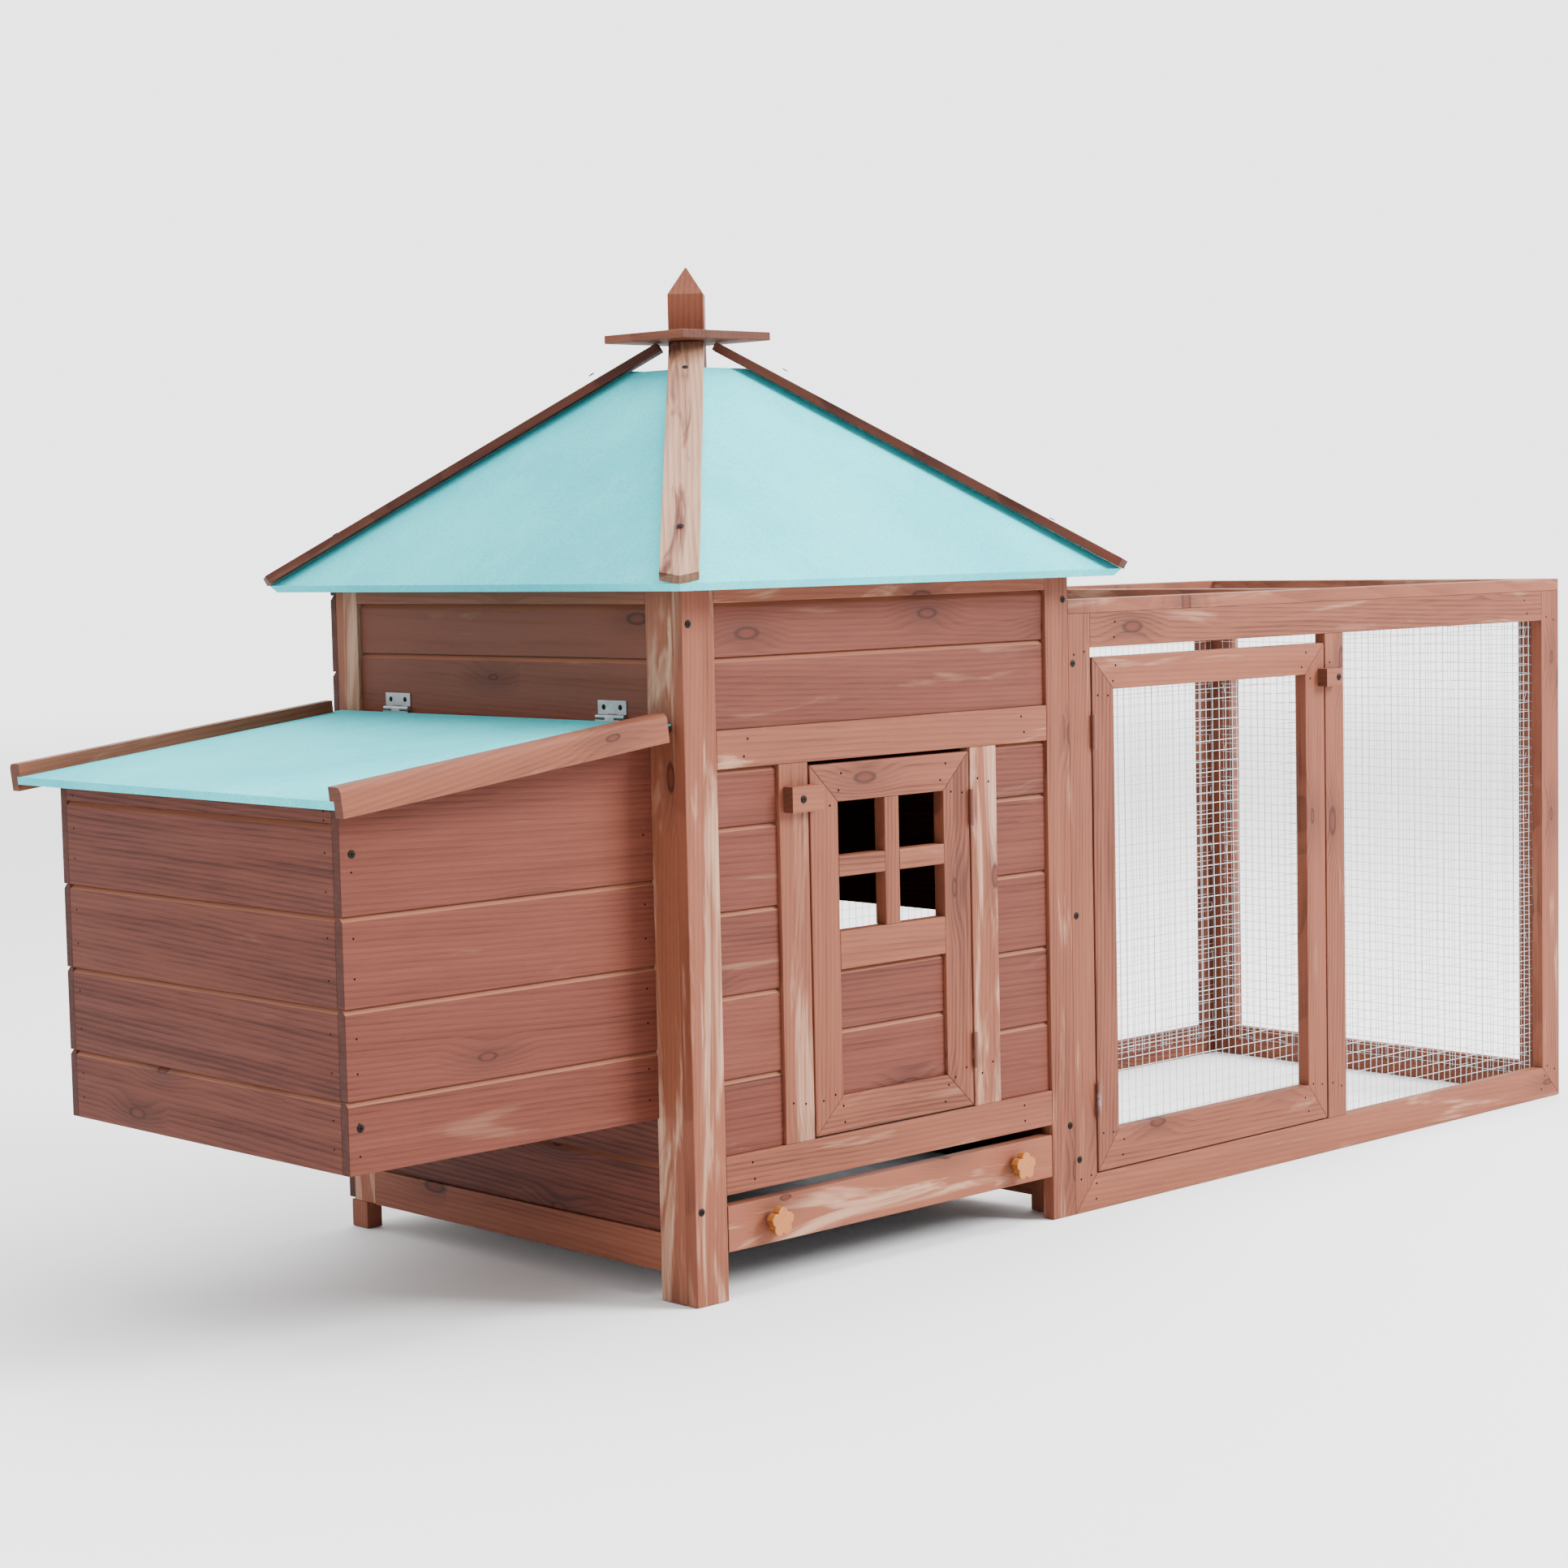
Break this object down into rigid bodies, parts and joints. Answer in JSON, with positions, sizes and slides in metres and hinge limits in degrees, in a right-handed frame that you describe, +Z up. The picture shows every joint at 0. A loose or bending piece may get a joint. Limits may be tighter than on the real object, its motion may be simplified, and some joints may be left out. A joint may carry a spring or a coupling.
{
  "type": "chicken coop",
  "caption": "Small wooden hen house with a hipped turquoise roof, a side nest box, a pull-out droppings drawer and an attached wire-mesh run.",
  "frame": {"origin": "on the ground under the middle of the coop, where the house meets the run", "axes": "+X along the front from the house to the end of the run, +Y from front to back, +Z up"},
  "size_m": [1.9216, 0.6994, 1.041],
  "materials": {
    "stained_frame": "reddish-brown translucent stain, satin",
    "stained_boards": "reddish-brown translucent stain, satin",
    "roof_plywood": "stained thin board, matt",
    "roof_felt": "pale turquoise mineral felt, matt",
    "wire_mesh": "galvanised",
    "pan_steel": "galvanised sheet",
    "zinc_hinge": "zinc plated",
    "screw_steel": "dulled zinc",
    "knob_pine": "varnished pine"
  },
  "bodies": {
    "coop": {"finial_plate": "stained_frame", "finial_post": "stained_frame", "front_boards": "stained_boards", "front_door_jambs": "stained_frame", "front_rails": "stained_frame", "front_stile_left": "stained_frame", "front_stile_right": "stained_frame", "hinge_fixed_leaves": "zinc_hinge", "hinge_pins": "zinc_hinge", "hip_boards": "stained_boards", "left_boards": "stained_boards", "left_rails": "stained_frame", "left_stiles": "stained_frame", "nest_battens": "stained_frame", "nest_divider": "stained_boards", "nest_end": "stained_boards", "nest_floor": "stained_boards", "nest_front_side": "stained_boards", "nest_rear_side": "stained_boards", "perch": "stained_frame", "rear_boards": "stained_boards", "rear_frame": "stained_frame", "right_boards": "stained_boards", "right_rails": "stained_frame", "right_stiles": "stained_frame", "roof_felt_front": "roof_felt", "roof_felt_left": "roof_felt", "roof_felt_rear": "roof_felt", "roof_felt_right": "roof_felt", "roof_panel_front": "roof_plywood", "roof_panel_left": "roof_plywood", "roof_panel_rear": "roof_plywood", "roof_panel_right": "roof_plywood", "run_end_frame": "stained_frame", "run_end_mesh": "wire_mesh", "run_front_frame": "stained_frame", "run_front_mesh": "wire_mesh", "run_rear_frame": "stained_frame", "run_rear_mesh": "wire_mesh", "run_top_frame": "stained_frame", "run_top_mesh": "wire_mesh", "screws": "screw_steel", "tray_runners": "stained_frame"},
    "tray": {"tray_front": "stained_frame", "tray_pan": "pan_steel", "tray_knobs": "knob_pine"},
    "nest_lid": {"lid_panel": "roof_plywood", "lid_felt": "roof_felt", "lid_rails": "stained_frame", "nest_hinge_lid_leaves": "zinc_hinge"},
    "house_door": {"house_door_frame": "stained_frame", "house_door_bars": "stained_frame", "house_door_boards": "stained_boards", "house_hinge_door_leaves": "zinc_hinge"},
    "run_door": {"run_door_frame": "stained_frame", "run_door_mesh": "wire_mesh", "run_hinge_door_leaves": "zinc_hinge"},
    "house_button": {"house_turn_button": "stained_frame"},
    "run_button": {"run_turn_button": "stained_frame"}
  },
  "joints": [
    {"name": "nest_lid_hinge", "type": "hinge", "parent": "coop", "child": "nest_lid", "pos_m": [-0.5586, 0, 0.576], "axis": [0, 1, 0], "range_deg": [0, 50]},
    {"name": "house_door_hinge", "type": "hinge", "parent": "coop", "child": "house_door", "pos_m": [-0.1599, -0.2902, 0.333], "axis": [0, 0, 1], "range_deg": [0, 95]},
    {"name": "run_door_hinge", "type": "hinge", "parent": "coop", "child": "run_door", "pos_m": [0.0373, -0.2902, 0.326], "axis": [0, 0, -1], "range_deg": [0, 95]},
    {"name": "tray_slide", "type": "slide", "parent": "coop", "child": "tray", "axis": [0, -1, 0], "range_m": [0, 0.4]},
    {"name": "house_button_turn", "type": "hinge", "parent": "coop", "child": "house_button", "pos_m": [-0.415, -0.2945, 0.4895], "axis": [0, 1, 0], "range_deg": [0, 90]},
    {"name": "run_button_turn", "type": "hinge", "parent": "coop", "child": "run_button", "pos_m": [0.469, -0.2945, 0.5705], "axis": [0, 1, 0], "range_deg": [0, 90]}
  ]
}
